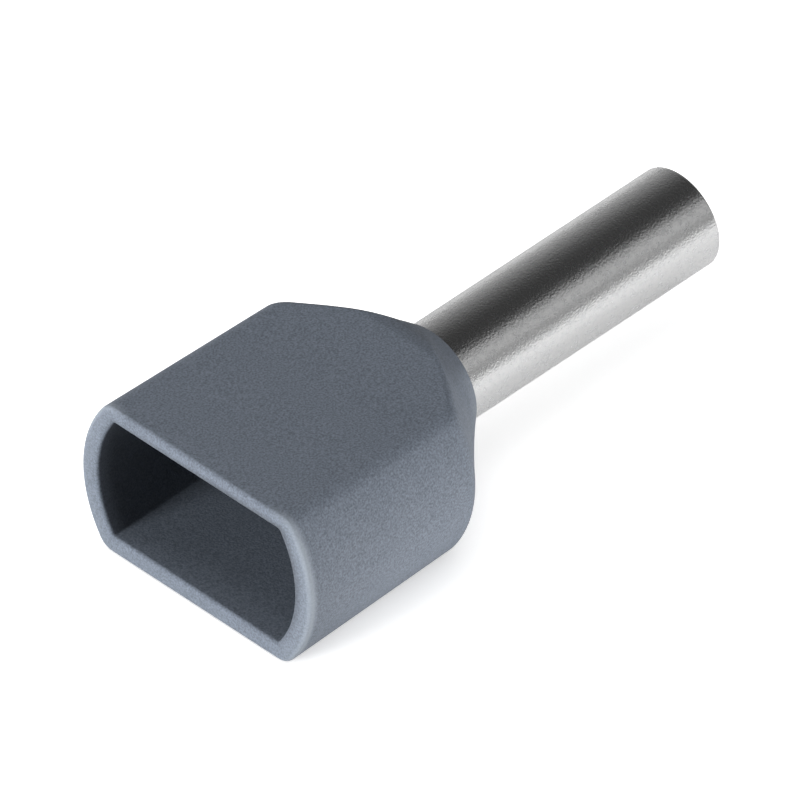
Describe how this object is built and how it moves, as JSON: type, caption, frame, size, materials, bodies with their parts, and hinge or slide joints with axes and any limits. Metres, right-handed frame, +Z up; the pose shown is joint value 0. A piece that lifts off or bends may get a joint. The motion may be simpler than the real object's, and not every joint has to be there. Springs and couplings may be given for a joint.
{
  "type": "wire ferrule",
  "caption": "Insulated cord-end sleeve with an oblong twin entry that funnels two stranded conductors into one round crimp tube.",
  "frame": {"origin": "on the surface the ferrule lies on, below the middle of its overall length, on its centre plane", "axes": "+X along the ferrule's axis from the mouth to the tube's free end, +Y across the wide faces, +Z up from the wide face it lies on"},
  "size_m": [0.023, 0.0106, 0.0062],
  "materials": {
    "collar_plastic": "matt moulded grey plastic with a fine grain",
    "tinned_tube": "satin tin plating with fine lengthwise draw lines"
  },
  "bodies": {
    "root": {"collar": "collar_plastic", "tube": "tinned_tube"}
  },
  "joints": []
}
